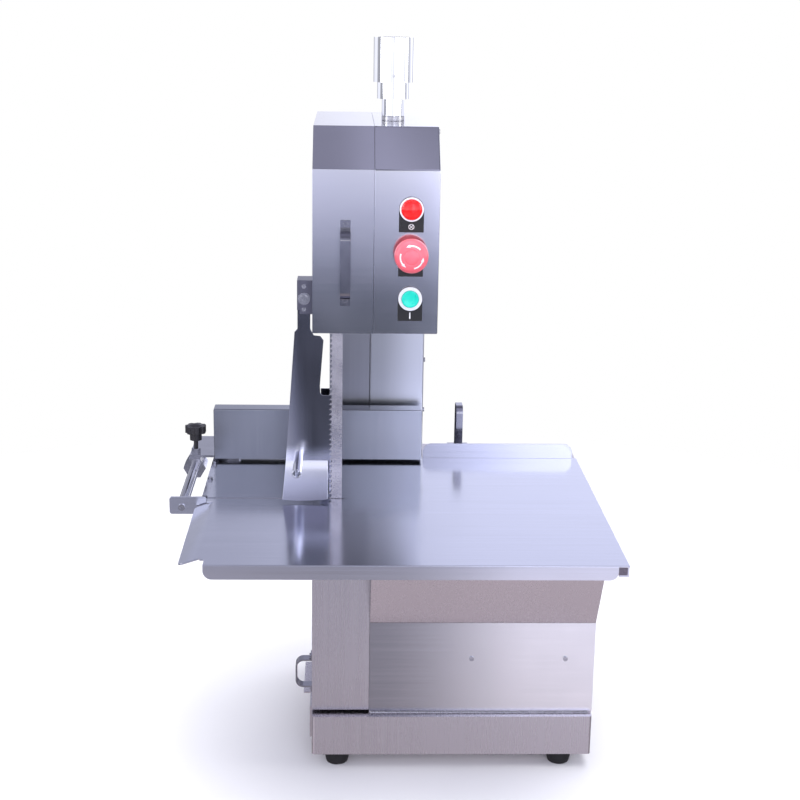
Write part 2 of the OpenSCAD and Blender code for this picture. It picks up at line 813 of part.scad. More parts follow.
// Knuckles of one hinge: the fixed pair, or the door's single one between them
module knuckles(z, fixed) {
    zs = fixed ? [z, z + 2 * knuckle_h] : [z + knuckle_h];
    for (z0 = zs)
        zrod(hinge_x, hinge_y, z0 + 0.2, z0 + knuckle_h - 0.2, knuckle_r);
}

// One hinge leaf with its knuckles: side 1 is the fixed leaf, -1 the door's
module hinge_leaf(z, side) {
    fixed = side > 0;
    h = 3 * knuckle_h;
    difference() {
        union() {
            knuckles(z, fixed);
            for (z0 = fixed ? [z, z + 2 * knuckle_h] : [z + knuckle_h])
                translate([hinge_x + (fixed ? 0.4 : -9), rear_y, z0 + 0.2])
                    cube([8.6, 3.2, knuckle_h - 0.4]);
            translate([hinge_x + (fixed ? 8 : -30), rear_y, z]) cube([22, 2, h]);
        }
        zrod(hinge_x, hinge_y, z - 1, z + h + 1, pin_r + run_fit);
        for (dz = [8, h - 8])
            yrod(hinge_x + side * 20, rear_y - 1, rear_y + 3, z + dz, 2.1);
    }
}

module hinge_leaves() place() color(steel)
    for (z = concat(upper_hinges, lower_hinges))
        hinge_leaf(z, 1);

module hinge_pins() place() color(polished)
    for (z = concat(upper_hinges, lower_hinges)) {
        zrod(hinge_x, hinge_y, z, z + 3 * knuckle_h, pin_r);
        for (z0 = [z - 2, z + 3 * knuckle_h])
            zrod(hinge_x, hinge_y, z0, z0 + 2, pin_r + 1.2);
    }

// Front face, height and right-hand end of each door's catch
catch_places = [[head_y0, 640, seam_x + 0.5], [body_y0, 180, motor_x0 - 6]];

// Magnetic catches, with the safety switch above each
module door_catches() place() color("#2c2f36")
    for (c = catch_places) {
        block(seam_x - 10, c[2], c[0] + sheet + 4, c[0] + sheet + 16, c[1], c[1] + 40);
        block(seam_x - 10, c[2], c[0] + sheet + 4, c[0] + sheet + 24, c[1] + 46, c[1] + 66);
    }

// The door's half of a catch: a keeper plate behind its front wall
module keeper(y, z) {
    block(seam_x - 14, seam_x - 10.5, y + sheet - 0.5, y + sheet + 15, z, z + 40);
    block(seam_x - 14, seam_x - 10.5, y + sheet - 0.5, y + sheet + 20, z + 50, z + 62);
}

module upper_door() place() color(steel_dark) {
    x1 = seam_x - gap;
    difference() {
        along_x(door_x0, x1) head_profile(0);
        along_x(door_x0 + sheet, x1 + 1) head_profile(sheet);
        // Ways out for the blade and its guide, and for the column's top
        block(-4, x1 + 1, -18, 14, head_z0 - 1, head_z0 + 2 * sheet);
        block(cover_x0 - 3, x1 + 1, 182, rear_y - 2, head_z0 - 1, head_z0 + 2 * sheet);
    }
    for (z = upper_hinges)
        hinge_leaf(z, -1);
    keeper(head_y0, catch_places[0][1]);
}

module upper_door_handle() place() color(polished) {
    span = 80;
    foot = 10.5;
    z = 643;
    difference() {
        translate([18.5, head_y0, z]) rotate([90, 0, 0]) bow(span, 27, 12, 2, foot);
        for (side = [-1, 1])
            yrod(18.5, head_y0 - 3, head_y0 + 1, z + side * (span + foot) / 2, 2);
    }
    for (side = [-1, 1])
        translate([18.5, head_y0 - 2, z + side * (span + foot) / 2]) rotate([90, 0, 0])
            screw_head(3, 1.8);
}

module lower_door() place() color(steel) {
    x1 = seam_x - gap;
    difference() {
        block(door_x0, x1, body_y0, rear_y, lower_door_z0, lower_door_z1);
        block(door_x0 + sheet, x1 + 1, body_y0 + sheet, rear_y - sheet,
            lower_door_z0 + sheet, lower_door_z1 - sheet);
        // Ways through the top and bottom for the blade and the dust
        block(-8, x1 + 1, -22, rear_y - 10, lower_door_z1 - 2 * sheet, lower_door_z1 + 1);
        block(-8, x1 + 1, -6, rear_y - 20, lower_door_z0 - 1, lower_door_z0 + 2 * sheet);
    }
    for (z = lower_hinges)
        hinge_leaf(z, -1);
    keeper(body_y0, catch_places[1][1]);
}

module lower_door_handle() place() color(polished) {
    y = -15;
    z = 116;
    span = 38;
    translate([door_x0, y, z]) rotate([0, -90, 0]) rotate([0, 0, 90]) bow(span, 21, 14, 2, 6.5);
    for (side = [-1, 1])
        translate([door_x0 - 2, y, z + side * (span + 6.5) / 2]) rotate([0, -90, 0])
            screw_head(2.5, 1.5);
}

// ---------- pusher ----------

// Folded bracket on the upper door's left face
module pusher_bracket() place() color("#4a4b55") difference() {
    union() {
        along_y(-1.5, 0.5) {
            translate([-39, 580]) square([39 + door_x0, 36]);
            translate([-36, 575]) square([36 + door_x0, 41]);
        }
        block(door_x0 - 2, door_x0, -1.5, 30, 575, 616);
        block(-39, door_x0, -1.5, 30, 614, 616);
    }
    yrod(pivot_x, -2, 2, pivot_z, 4.02);
}

module pivot_bolt() place() color(polished) {
    bolt_y1 = 9;
    yrod(pivot_x, -2, bolt_y1, pivot_z, 4);
    yrod(pivot_x, -3.2, -1.5, pivot_z, 7.5);
    // Spacer that keeps the pusher clear of the blade
    yrod(pivot_x, 0.5, pusher_y - gap, pivot_z, 7);
    translate([pivot_x, -3.2, pivot_z]) rotate([90, 0, 0]) screw_head(4.6, 3.6);
    translate([pivot_x, bolt_y1, pivot_z]) rotate([90, 0, 0])
        cylinder(r = 6.5, h = bolt_y1 - pusher_y - pusher_t - gap, $fn = 6);
    for (z = [609, 581])
        translate([pivot_x, -1.5, z]) rotate([90, 0, 0]) screw_head(2.8, 1.6);
}

bend_z = 390;
bend_y = -20;
shelf_z = 473;
push_depth = 40;
channel_x0 = -11;
channel_x1 = 2.4;

// Flat sheet outline in X and Z, from the pivot's eye down to the bend
module pusher_outline() {
    difference() {
        union() {
            translate([pivot_x, pivot_z]) circle(8);
            translate([pivot_x - 8, 550]) square([15.5, pivot_z - 550]);
            polygon([
                [-42.8, 545], [-42.3, 552], [pivot_x - 8, 556], [pivot_x + 7.5, 556],
                [-19, 548], [-11, 547], [-7.2, 542], [channel_x0 - 0.5, shelf_z + 12],
                [channel_x0, shelf_z + 3], [channel_x0 + 3, shelf_z], [channel_x1, shelf_z],
                [channel_x1, bend_z], [-53.3, bend_z]
            ]);
        }
        translate([pivot_x, pivot_z]) circle(4.05);
    }
}

module pusher_plate() place() color(steel_dark) {
    along_y(pusher_y, pusher_y + pusher_t) pusher_outline();
    // The lower part, bent forwards, with a curved bottom edge
    low_z = 346;
    intersection() {
        along_x(-60, 0) polygon([
            [pusher_y, bend_z], [pusher_y + pusher_t, bend_z],
            [bend_y + pusher_t, low_z - 4], [bend_y, low_z - 4]
        ]);
        along_y(bend_y - 5, 10) intersection() {
            polygon([[-53.3, bend_z], [-57, 340], [-1.4, 340], [-1.4, bend_z]]);
            translate([-34, low_z + 260]) circle(261, $fn = 200);
        }
    }
    // Pushing face and its return, folded back beside the blade
    block(channel_x1 - pusher_t, channel_x1, pusher_y, push_depth, low_z + 4, shelf_z);
    block(channel_x0, channel_x1, push_depth - pusher_t, push_depth, low_z + 4, shelf_z);
}

module pusher_handle() place() color(polished) difference() {
    yrod(-37.5, -72, pusher_y, bend_z + 6.5, 5.5);
    yrod(-37.5, -73, -40, bend_z + 6.5, 4);
}

// ---------- table and fence ----------

module table() place() color(steel) {
    t = 2;
    drop = 17;
    lip_z = table_z - drop;
    lip_x0 = bend_x + 5;
    lip_x1 = table_x1 - 12;
    difference() {
        block(table_x0, table_x1, table_y0, table_y1, table_z - t, table_z);
        block(table_x0 - 1, blade_w + 4, -1.5, 1.5, table_z - 3, table_z + 1);
        // The flange takes the place of the front half's left edge
        block(table_x0 - 1, bend_x, table_y0 - 1, flange_y1, table_z - 3, table_z + 1);
        block(table_x0 - 1, lip_x0, table_y0 - 1, table_y0 + 18, table_z - 3, table_z + 1);
    }
    // Front lip, turned down
    along_y(table_y0, table_y0 + t) intersection() {
        round_rect(lip_x0, lip_x1, lip_z, table_z + drop, 10);
        translate([lip_x0, lip_z]) square([lip_x1 - lip_x0, drop - 1]);
    }
    // Back lip, turned up
    along_y(table_y1 - t, table_y1) intersection() {
        round_rect(fence_x1 + 3, table_x1 - 6, table_z - 20, table_z + 20, 12);
        translate([fence_x1, table_z - 1]) square([table_x1 - fence_x1, 22]);
    }
    // Right edge, folded down in front of the apron, and folded back under at its front end
    block(table_x1 - t, table_x1, table_y0 + 3, apron_y0 - 8, table_z - 14, table_z);
    block(table_x1 - 11, table_x1, table_y0 + 3, table_y0 + 27, table_z - 14, table_z - 12);
    left_flange(t);
}

// Sloping flange beside the front half of the table
module left_flange(t) {
    drop = 8;
    width = 24.5;
    corner = 6;
    intersection() {
        along_y(table_y0, 0) polygon([
            [bend_x + 1, table_z], [bend_x, table_z], [bend_x - width, table_z - drop],
            [bend_x - width, table_z - drop - t], [bend_x, table_z - t], [bend_x + 1, table_z - t]
        ]);
        translate([0, 0, table_z - 20]) linear_extrude(30)
            round_rect(bend_x - width, bend_x + 3 * corner, table_y0 + 22, flange_y1, corner);
    }
}

// Bar under the table's left edge, with a tab at each end for the rod
module rod_carrier() place() color(steel) {
    t = 3;
    low = slide_z - 9;
    rear = 238;
    bar_z = table_z - 6;
    difference() {
        union() {
            block(table_x0 - 8, table_x0 + 10, -10, rear + t, bar_z, bar_z + 4);
            along_y(-10, -10 + t) {
                round_rect(machine_x0, table_x0 - 0.5, low, low + 22, 3);
                translate([table_x0 - 8, low]) square([18, bar_z - low + 4]);
            }
            along_y(rear, rear + t) {
                round_rect(slide_x - 6, table_x0 - 0.5, low, fence_z0 - 0.5, 3);
                translate([table_x0 - 8, low]) square([18, bar_z - low + 4]);
            }
        }
        yrod(slide_x, -11, rear + t + 1, slide_z, 2.6);
    }
}

module guide_rod() place() color(polished) difference() {
    yrod(slide_x, -7, 238, slide_z, slide_r);
    yrod(slide_x, -8, 8, slide_z, 2.6);
    yrod(slide_x, 223, 239, slide_z, 2.6);
}

clamp_y = 174;

// Six-sided block on the rod, with the arm that carries the fence
module fence_slider() place() color(polished) difference() {
    union() {
        translate([slide_x, 184, slide_z]) rotate([90, 0, 0]) intersection() {
            cylinder(r = hex_r, h = 34, $fn = 6);
            translate([-20, -20, 0]) cube([40, fence_z0 - slide_z + 20, 34]);
        }
        block(slide_x - 7, fence_x0 + 32, 158, 250, fence_z0, fence_z0 + 3);
        translate([slide_x, clamp_y, fence_z0 + 3]) cylinder(r = 6, h = 5.5, $fn = 6);
    }
    yrod(slide_x, 149, 185, slide_z, slide_r + run_fit);
    zrod(slide_x, clamp_y, slide_z, fence_z0 + 12, 3.05);
}

module fence() place() color(steel) difference() {
    block(fence_x0, fence_x1, fence_y0, fence_y1, fence_z0, fence_z0 + fence_h);
    block(fence_x0 + sheet, fence_x1 - sheet, fence_y0 + sheet, fence_y1 - sheet,
        fence_z0 - 1, fence_z0 + fence_h - sheet);
    // Room for the slider's arm
    block(fence_x0 - 1, fence_x0 + 33, fence_y0 + 3, fence_y1 + 1, fence_z0 - 1, fence_z0 + 3);
}

module clamp_knob() place() color(black) {
    lobes = 7;
    star_z0 = 376;
    star_z1 = 386;
    zrod(slide_x, clamp_y, slide_z + slide_r + 1, star_z0 + 2, 3);
    zrod(slide_x, clamp_y, star_z0 - 10, star_z0 + 1, 8);
    difference() {
        zrod(slide_x, clamp_y, star_z0, star_z1, 14);
        for (i = [0 : lobes - 1])
            translate([slide_x, clamp_y, star_z0 - 6]) rotate([0, 0, i * 360 / lobes])
                translate([16.5, 0, 0]) cylinder(r = 4.5, h = 20);
    }
    translate([slide_x, clamp_y, star_z1]) dome(9, 2.5);
}

// ---------- fasteners ----------

module housing_screws() place() color(polished) {
    // Service panel
    for (p = panel_screws)
        translate([p[0], body_y0 - sheet, p[1]]) rotate([90, 0, 0]) screw_head(3, 1.8);
    // Right side of the head, the column and the lower housing
    for (z = [head_z1 - 8, head_z1 - 56, head_z0 + 43, head_z0 + 29])
        translate([head_x1, 40, z]) rotate([0, 90, 0]) screw_head(3, 2.5);
    for (z = [400, 470])
        translate([post_x1, 212, z]) rotate([0, 90, 0]) screw_head(3, 2.5);
    translate([body_x1, 20, 110]) rotate([0, 90, 0]) screw_head(3, 2);
    // Left side of the column's cover
    for (z = [380, 520])
        translate([cover_x0, 222, z]) rotate([0, -90, 0]) screw_head(3, 2);
    // Ends of the guide rod
    translate([slide_x, -10, slide_z]) rotate([90, 0, 0]) screw_head(4.2, 2.2);
    yrod(slide_x, -10.5, 6, slide_z, 2.5);
    translate([slide_x, 241, slide_z]) rotate([-90, 0, 0]) screw_head(4.2, 2.2);
    yrod(slide_x, 225, 241.5, slide_z, 2.5);
    // Rod carrier
    for (y = [6, 80, 150])
        translate([table_x0 - 4, y, table_z - 2]) cylinder(r = 3.2, h = 3.4, $fn = 6);
    // Motor flange
    for (a = [45 : 90 : 315])
        translate([motor_x0 - 6, wheel_y + 75 * cos(a), lower_wheel_z + 75 * sin(a)])
            rotate([0, -90, 0]) {
                screw_head(7, 5);
                translate([0, 0, -18]) cylinder(r = 4, h = 18.5);
            }
}

base_pan();
rubber_feet();
foot_screws();
lower_housing();
service_panel();
table_apron();
motor_plate();
column_post();
blade_cover();
head_housing();
head_plate();
housing_screws();
table();
rod_carrier();
guide_rod();
upper_guide();
lower_guide();
guide_pads();
wheel_scraper();
band_blade();
motor_frame();
motor_end_bells();
motor_bearings();
motor_stator();
fan_cover();
terminal_box();
control_box();
cable_gland();
lifting_handle();
carriage_rods();
tension_bush();
hinge_leaves();
hinge_pins();
door_catches();
legend_plates();
button_bezels();
lamp_lens();
contact_blocks();
scrap_drawer();
upper_door();
upper_door_handle();
pusher_bracket();
pivot_bolt();
lower_door();
lower_door_handle();
pusher_plate();
pusher_handle();
tension_carriage();
upper_axle();
tension_knob();
upper_wheel();
wheel_bearings();
lower_wheel();
motor_rotor();
motor_fan();
fence();
fence_slider();
clamp_knob();
estop_button();
start_button();
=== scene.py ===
import json
import math

import bmesh
import bpy
from mathutils import Matrix, Vector


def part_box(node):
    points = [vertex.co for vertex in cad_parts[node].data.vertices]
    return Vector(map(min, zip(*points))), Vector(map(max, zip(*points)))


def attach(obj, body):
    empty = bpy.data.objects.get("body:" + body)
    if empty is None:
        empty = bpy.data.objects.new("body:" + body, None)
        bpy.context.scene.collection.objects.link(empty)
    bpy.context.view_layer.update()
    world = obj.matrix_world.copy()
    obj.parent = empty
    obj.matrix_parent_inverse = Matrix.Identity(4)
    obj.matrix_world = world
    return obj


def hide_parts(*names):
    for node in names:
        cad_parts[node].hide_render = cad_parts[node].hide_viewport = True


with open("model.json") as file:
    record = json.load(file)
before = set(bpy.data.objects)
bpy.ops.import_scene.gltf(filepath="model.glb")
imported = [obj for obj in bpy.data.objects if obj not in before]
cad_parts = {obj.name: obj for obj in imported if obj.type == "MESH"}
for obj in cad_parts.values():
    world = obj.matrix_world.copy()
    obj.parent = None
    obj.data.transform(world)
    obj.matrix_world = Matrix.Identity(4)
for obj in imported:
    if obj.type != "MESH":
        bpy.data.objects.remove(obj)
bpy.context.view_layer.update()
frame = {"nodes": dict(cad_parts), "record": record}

MM = 0.001
BODIES = {n: body for body, names in frame["record"]["behaviour"]["bodies"].items() for n in names}

# The work frame: X = 0 at the tooth tips, Y = 0 in the cutting run, in millimetres
BLADE_T = 0.6
BLADE_LOW, BLADE_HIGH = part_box("band_blade")
ORIGIN = Vector((BLADE_LOW.x, BLADE_LOW.y + BLADE_T / 2 * MM, 0))


def at(x, y, z):
    """A point of the work frame, in metres in the row frame."""
    return ORIGIN + Vector((x, y, z)) * MM


# ---------- materials ----------


def add(tree, kind, **values):
    """A shader node, with its properties or input values set by name."""
    made = tree.nodes.new(kind)
    for key, value in values.items():
        if hasattr(made, key):
            setattr(made, key, value)
        else:
            made.inputs[key.replace("_", " ")].default_value = value
    return made


def new_material(name, colour, rough, metallic=0.0):
    material = bpy.data.materials.new(name)
    material.use_nodes = True
    tree = material.node_tree
    shader = tree.nodes["Principled BSDF"]
    shader.inputs["Base Color"].default_value = (*colour, 1)
    shader.inputs["Roughness"].default_value = rough
    shader.inputs["Metallic"].default_value = metallic
    return material, tree, shader


def noise(tree, scale, detail=3.0):
    """A noise field with its own scale along each axis, in features per metre."""
    coord = add(tree, "ShaderNodeTexCoord")
    mapping = add(tree, "ShaderNodeMapping")
    mapping.inputs["Scale"].default_value = scale
    field = add(tree, "ShaderNodeTexNoise", Scale=1.0, Detail=detail)
    tree.links.new(coord.outputs["Object"], mapping.inputs["Vector"])
    tree.links.new(mapping.outputs["Vector"], field.inputs["Vector"])
    return field.outputs["Fac"]


def ranged(tree, source, low, high, start=0.3, end=0.7):
    """The source's values from start to end, mapped to low and high."""
    made = add(tree, "ShaderNodeMapRange")
    for key, value in (("From Min", start), ("From Max", end), ("To Min", low), ("To Max", high)):
        made.inputs[key].default_value = value
    tree.links.new(source, made.inputs["Value"])
    return made.outputs["Result"]


def combine(tree, operation, a, b):
    made = add(tree, "ShaderNodeMath", operation=operation)
    for socket, value in zip(made.inputs, (a, b)):
        if isinstance(value, (int, float)):
            socket.default_value = value
        else:
            tree.links.new(value, socket)
    return made.outputs["Value"]


def tint(tree, shader, colour, factor, spread):
    """The base colour made darker and lighter by a factor field from 0 to 1."""
    mix = add(tree, "ShaderNodeMix", data_type="RGBA")
    tree.links.new(factor, mix.inputs["Factor"])
    mix.inputs[6].default_value = (*[c * (1 - spread) for c in colour], 1)
    mix.inputs[7].default_value = (*[min(1, c * (1 + spread)) for c in colour], 1)
    tree.links.new(mix.outputs[2], shader.inputs["Base Color"])


def roughen(tree, shader, height, strength, distance):
    bump = add(tree, "ShaderNodeBump", Strength=strength, Distance=distance)
    tree.links.new(height, bump.inputs["Height"])
    tree.links.new(bump.outputs["Normal"], shader.inputs["Normal"])


def paint_reflection_gradient(tree, shader, colour, axis, dull, bright, gain):
    """Painted reflection: the sheet's colour rises by a gain from the dull place to the bright one along an
    axis.
    """
    coord = add(tree, "ShaderNodeTexCoord")
    parts = add(tree, "ShaderNodeSeparateXYZ")
    tree.links.new(coord.outputs["Object"], parts.inputs["Vector"])
    share = add(tree, "ShaderNodeMapRange", interpolation_type="SMOOTHSTEP")
    share.inputs["From Min"].default_value = dull
    share.inputs["From Max"].default_value = bright
    tree.links.new(parts.outputs[axis], share.inputs["Value"])
    mix = add(tree, "ShaderNodeMix", data_type="RGBA")
    tree.links.new(share.outputs["Result"], mix.inputs["Factor"])
    tree.links.new(shader.inputs["Base Color"].links[0].from_socket, mix.inputs[6])
    mix.inputs[7].default_value = (*[min(0.9, c * gain) for c in colour], 1)
    tree.links.new(mix.outputs[2], shader.inputs["Base Color"])


def edge_wear(tree, radius):
    """1 on the edges, where handling has polished the metal, and 0 on the flats."""
    soft = add(tree, "ShaderNodeBevel", samples=6, Radius=radius)
    flat = add(tree, "ShaderNodeNewGeometry")
    dot = add(tree, "ShaderNodeVectorMath", operation="DOT_PRODUCT")
    tree.links.new(soft.outputs["Normal"], dot.inputs[0])
    tree.links.new(flat.outputs["Normal"], dot.inputs[1])
    return ranged(tree, dot.outputs["Value"], 1.0, 0.0, 0.86, 0.995)


# Features per metre: across the grain, across its wide bands, and along the grain
GRAIN = 2200
BAND = 260
LONG = 9


def brushed(name, colour, rough, along, spread=0.03, bump=0.03, wear=0.5, painted_reflection=None):
    """Stainless sheet with a grain along one axis, wide soft bands, smudges and polished edges.
    painted_reflection is (axis, dull place, bright place, gain) for a sheet that reflects unevenly: it
    stands for reflections that the simple room doesn't give, and not for wear."""
    material, tree, shader = new_material(name, colour, rough, 1.0)
    axis = "XYZ".index(along)
    grain = noise(tree, [LONG if i == axis else GRAIN for i in range(3)], 4)
    bands = noise(tree, [LONG / 3 if i == axis else BAND for i in range(3)], 2)
    smudges = noise(tree, (14, 14, 14), 4)
    tone = combine(tree, "ADD", combine(tree, "MULTIPLY", grain, 0.55),
                   combine(tree, "MULTIPLY", bands, 0.45))
    worn = combine(tree, "MULTIPLY", edge_wear(tree, 0.5 * MM), wear)
    tint(tree, shader, colour, combine(tree, "ADD", ranged(tree, tone, 0, 1), worn), spread)
    if painted_reflection:
        paint_reflection_gradient(tree, shader, colour, *painted_reflection)
    matt = combine(tree, "ADD", ranged(tree, tone, rough * 0.93, rough * 1.07),
                   ranged(tree, smudges, -0.01, 0.015))
    matt = combine(tree, "SUBTRACT", matt, combine(tree, "MULTIPLY", worn, 0.12))
    tree.links.new(matt, shader.inputs["Roughness"])
    roughen(tree, shader, grain, bump, 0.02 * MM)
    return material


def machined(name, colour, rough, metallic=1.0, scale=900, spread=0.08, bump=0.1):
    """Turned, ground or polished metal with fine scratches and smudges."""
    material, tree, shader = new_material(name, colour, rough, metallic)
    fine = noise(tree, (scale, scale, scale), 4)
    broad = noise(tree, (40, 40, 40), 4)
    tint(tree, shader, colour, ranged(tree, broad, 0, 1), spread)
    tree.links.new(
        combine(tree, "ADD", ranged(tree, fine, rough * 0.8, rough * 1.2),
                ranged(tree, broad, -0.02, 0.03)), shader.inputs["Roughness"])
    roughen(tree, shader, fine, bump, 0.02 * MM)
    return material


def moulded(name, colour, rough, grain=1800, bump=0.25, coat=0.0):
    """Plastic or rubber with a fine moulded grain, and dust in broad patches."""
    material, tree, shader = new_material(name, colour, rough)
    shader.inputs["Coat Weight"].default_value = coat
    shader.inputs["Coat Roughness"].default_value = 0.08
    fine = noise(tree, (grain, grain, grain), 3)
    broad = noise(tree, (60, 60, 60), 5)
    tint(tree, shader, colour, ranged(tree, broad, 0, 1), 0.1)
    tree.links.new(ranged(tree, broad, rough - 0.05, rough + 0.06), shader.inputs["Roughness"])
    roughen(tree, shader, fine, bump, 0.03 * MM)
    return material


# Height of the bend at the pusher's foot, in metres
BEND_Z = 0.390
HEAD = brushed("head_sheet", (0.66, 0.66, 0.69), 0.13, "X", 0.012, 0.008)
# The lower sheet is the head's steel made a little darker and warmer: painted shade on the lower parts.
LOWER = brushed("lower_sheet", (0.62, 0.59, 0.615), 0.27, "Z", 0.02, 0.02)
# The service panel is dark at the left and brightens towards +X: a painted reflection.
PANEL = brushed("panel_sheet", (0.42, 0.42, 0.455), 0.22, "X", 0.08, painted_reflection=("X", -0.02, 0.19, 2.1))
TABLE = brushed("table_sheet", (0.66, 0.67, 0.73), 0.16, "X", 0.05, 0.03)
# The fence brightens towards +X: a painted reflection.
FENCE = brushed("fence_sheet", (0.36, 0.375, 0.41), 0.24, "Z", 0.02, 0.02,
                painted_reflection=("X", -0.03, 0.06, 1.5))
# The pusher brightens downwards to just above the bend at its foot: a painted highlight.
PUSHER = brushed("pusher_sheet", (0.24, 0.245, 0.285), 0.15, "Z", 0.03,
                 painted_reflection=("Z", BEND_Z + 0.022, BEND_Z + 0.004, 2.9))
# The post brightens towards +X: a painted reflection.
POST = brushed("post_sheet", (0.38, 0.39, 0.42), 0.32, "Z", 0.03, painted_reflection=("X", -0.01, 0.055, 1.8))
COVER = brushed("cover_sheet", (0.28, 0.285, 0.315), 0.32, "Z", 0.03)
BRACKET = brushed("bracket_sheet", (0.16, 0.16, 0.20), 0.30, "Z", 0.06)
STEEL = machined("machined_steel", (0.50, 0.50, 0.52), 0.34)
CHROME = machined("polished_steel", (0.72, 0.73, 0.78), 0.07, spread=0.04, bump=0.05)
HANDLE = machined("handle_steel", (0.34, 0.34, 0.38), 0.14, spread=0.06, bump=0.05)
SCREWS = machined("zinc_screws", (0.46, 0.46, 0.49), 0.2)
BEZEL = machined("bezel_metal", (0.84, 0.84, 0.88), 0.4, metallic=0.35)
BLADE = machined("blade_steel", (0.58, 0.56, 0.59), 0.27, scale=1500)
ALLOY = machined("wheel_alloy", (0.66, 0.66, 0.68), 0.32, scale=500)
BRASS = machined("guide_brass", (0.75, 0.58, 0.28), 0.3)
COPPER = machined("windings", (0.55, 0.25, 0.10), 0.4, scale=250, bump=0.5)
PAINT = moulded("motor_paint", (0.07, 0.09, 0.13), 0.42, 700, 0.3)
RUBBER = moulded("foot_rubber", (0.004, 0.004, 0.005), 0.7)
BLACK = moulded("black_plastic", (0.016, 0.015, 0.018), 0.42)
GLOSS_BLACK = moulded("label_black", (0.010, 0.010, 0.011), 0.3, bump=0.05)
WHITE = moulded("white_plastic", (0.78, 0.78, 0.76), 0.45)
PRINT = moulded("label_white", (0.80, 0.80, 0.80), 0.4, bump=0.02)
LENS = moulded("red_lens", (0.92, 0.008, 0.008), 0.22, bump=0.02, coat=0.3)
RED = moulded("red_plastic", (0.86, 0.13, 0.17), 0.34, bump=0.05, coat=0.3)
GREEN = moulded("green_plastic", (0.003, 0.62, 0.47), 0.26, bump=0.02, coat=0.3)

# Each CAD node's material, small edge radius and bend radius in millimetres
LOOKS = {
    "base_pan": (LOWER, 0.3, 2.4), "rubber_feet": (RUBBER, 1.0, 1.4), "foot_screws": (SCREWS, 0.3, 0.3),
    "lower_housing": (LOWER, 0.3, 1.6), "service_panel": (PANEL, 0.3, 0.3),
    "table_apron": (LOWER, 0.3, 1.2), "motor_plate": (STEEL, 0.4, 0.4),
    "column_post": (POST, 0.4, 2.4), "blade_cover": (COVER, 0.3, 1.6), "head_housing": (HEAD, 0.3, 1.8),
    "head_plate": (STEEL, 0.4, 0.6), "housing_screws": (SCREWS, 0.3, 0.4), "table": (TABLE, 0.35, 0.9),
    "rod_carrier": (TABLE, 0.4, 0.4), "guide_rod": (HANDLE, 0.5, 0.5), "upper_guide": (STEEL, 0.4, 0.4),
    "lower_guide": (STEEL, 0.4, 0.4), "guide_pads": (BRASS, 0.3, 0.3), "wheel_scraper": (WHITE, 0.4, 0.4),
    "motor_frame": (PAINT, 0.3, 0.3), "motor_end_bells": (PAINT, 0.8, 0.8),
    "motor_bearings": (SCREWS, 0.4, 0.4), "motor_stator": (COPPER, 1.0, 1.0),
    "fan_cover": (PAINT, 0.4, 1.5), "terminal_box": (BLACK, 0.6, 1.2), "control_box": (BLACK, 0.5, 1.2),
    "cable_gland": (BLACK, 0.5, 0.5), "lifting_handle": (HANDLE, 0.6, 0.6),
    "carriage_rods": (CHROME, 0.4, 0.4), "tension_bush": (STEEL, 0.5, 0.5),
    "hinge_leaves": (HEAD, 0.3, 0.3), "hinge_pins": (SCREWS, 0.3, 0.3), "door_catches": (BLACK, 0.5, 0.5),
    "legend_plates": (GLOSS_BLACK, 0.25, 0.25), "button_bezels": (BEZEL, 0.6, 0.6),
    "contact_blocks": (WHITE, 0.5, 1.0), "scrap_drawer": (LOWER, 0.3, 1.0),
    "upper_door": (HEAD, 0.3, 1.8), "upper_door_handle": (HANDLE, 0.6, 0.6),
    "pusher_bracket": (BRACKET, 0.35, 0.5), "pivot_bolt": (SCREWS, 0.3, 0.4),
    "lower_door": (LOWER, 0.3, 1.8), "lower_door_handle": (HANDLE, 0.6, 0.6),
    "pusher_plate": (PUSHER, 0.35, 0.5), "pusher_handle": (CHROME, 0.6, 0.6),
    "tension_carriage": (STEEL, 0.6, 0.8), "upper_axle": (STEEL, 0.4, 0.4),
    "tension_knob": (CHROME, 0.9, 0.9), "upper_wheel": (ALLOY, 0.6, 0.6),
    "wheel_bearings": (SCREWS, 0.4, 0.4), "lower_wheel": (ALLOY, 0.6, 0.6),
    "motor_rotor": (STEEL, 0.5, 0.5), "motor_fan": (BLACK, 0.4, 0.4), "fence": (FENCE, 0.3, 1.3),
    "fence_slider": (SCREWS, 0.4, 0.4), "clamp_knob": (BLACK, 1.0, 1.0),
}


# ---------- pieces ----------


def keep(piece, node, material=None):
    """The piece rides with the CAD node's body and takes the given material, if one is given."""
    if material:
        piece.data.materials.clear()
        piece.data.materials.append(material)
    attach(piece, BODIES[node])
    return piece


def mesh_piece(name, bm, smooth=True):
    mesh = bpy.data.meshes.new(name)
    bmesh.ops.recalc_face_normals(bm, faces=bm.faces)
    for face in bm.faces:
        face.smooth = smooth
    bm.to_mesh(mesh)
    bm.free()
    piece = bpy.data.objects.new(name, mesh)
    bpy.context.scene.collection.objects.link(piece)
    return piece


# Edges that turn by more than SHARP are rounded, and those between faces wider than BROAD are bends
SHARP = math.radians(28)
BROAD = 5 * MM


def breadth(face):
    """About how wide a face is across its narrow way."""
    return 2 * face.calc_area() / max(face.calc_perimeter(), 1e-9)


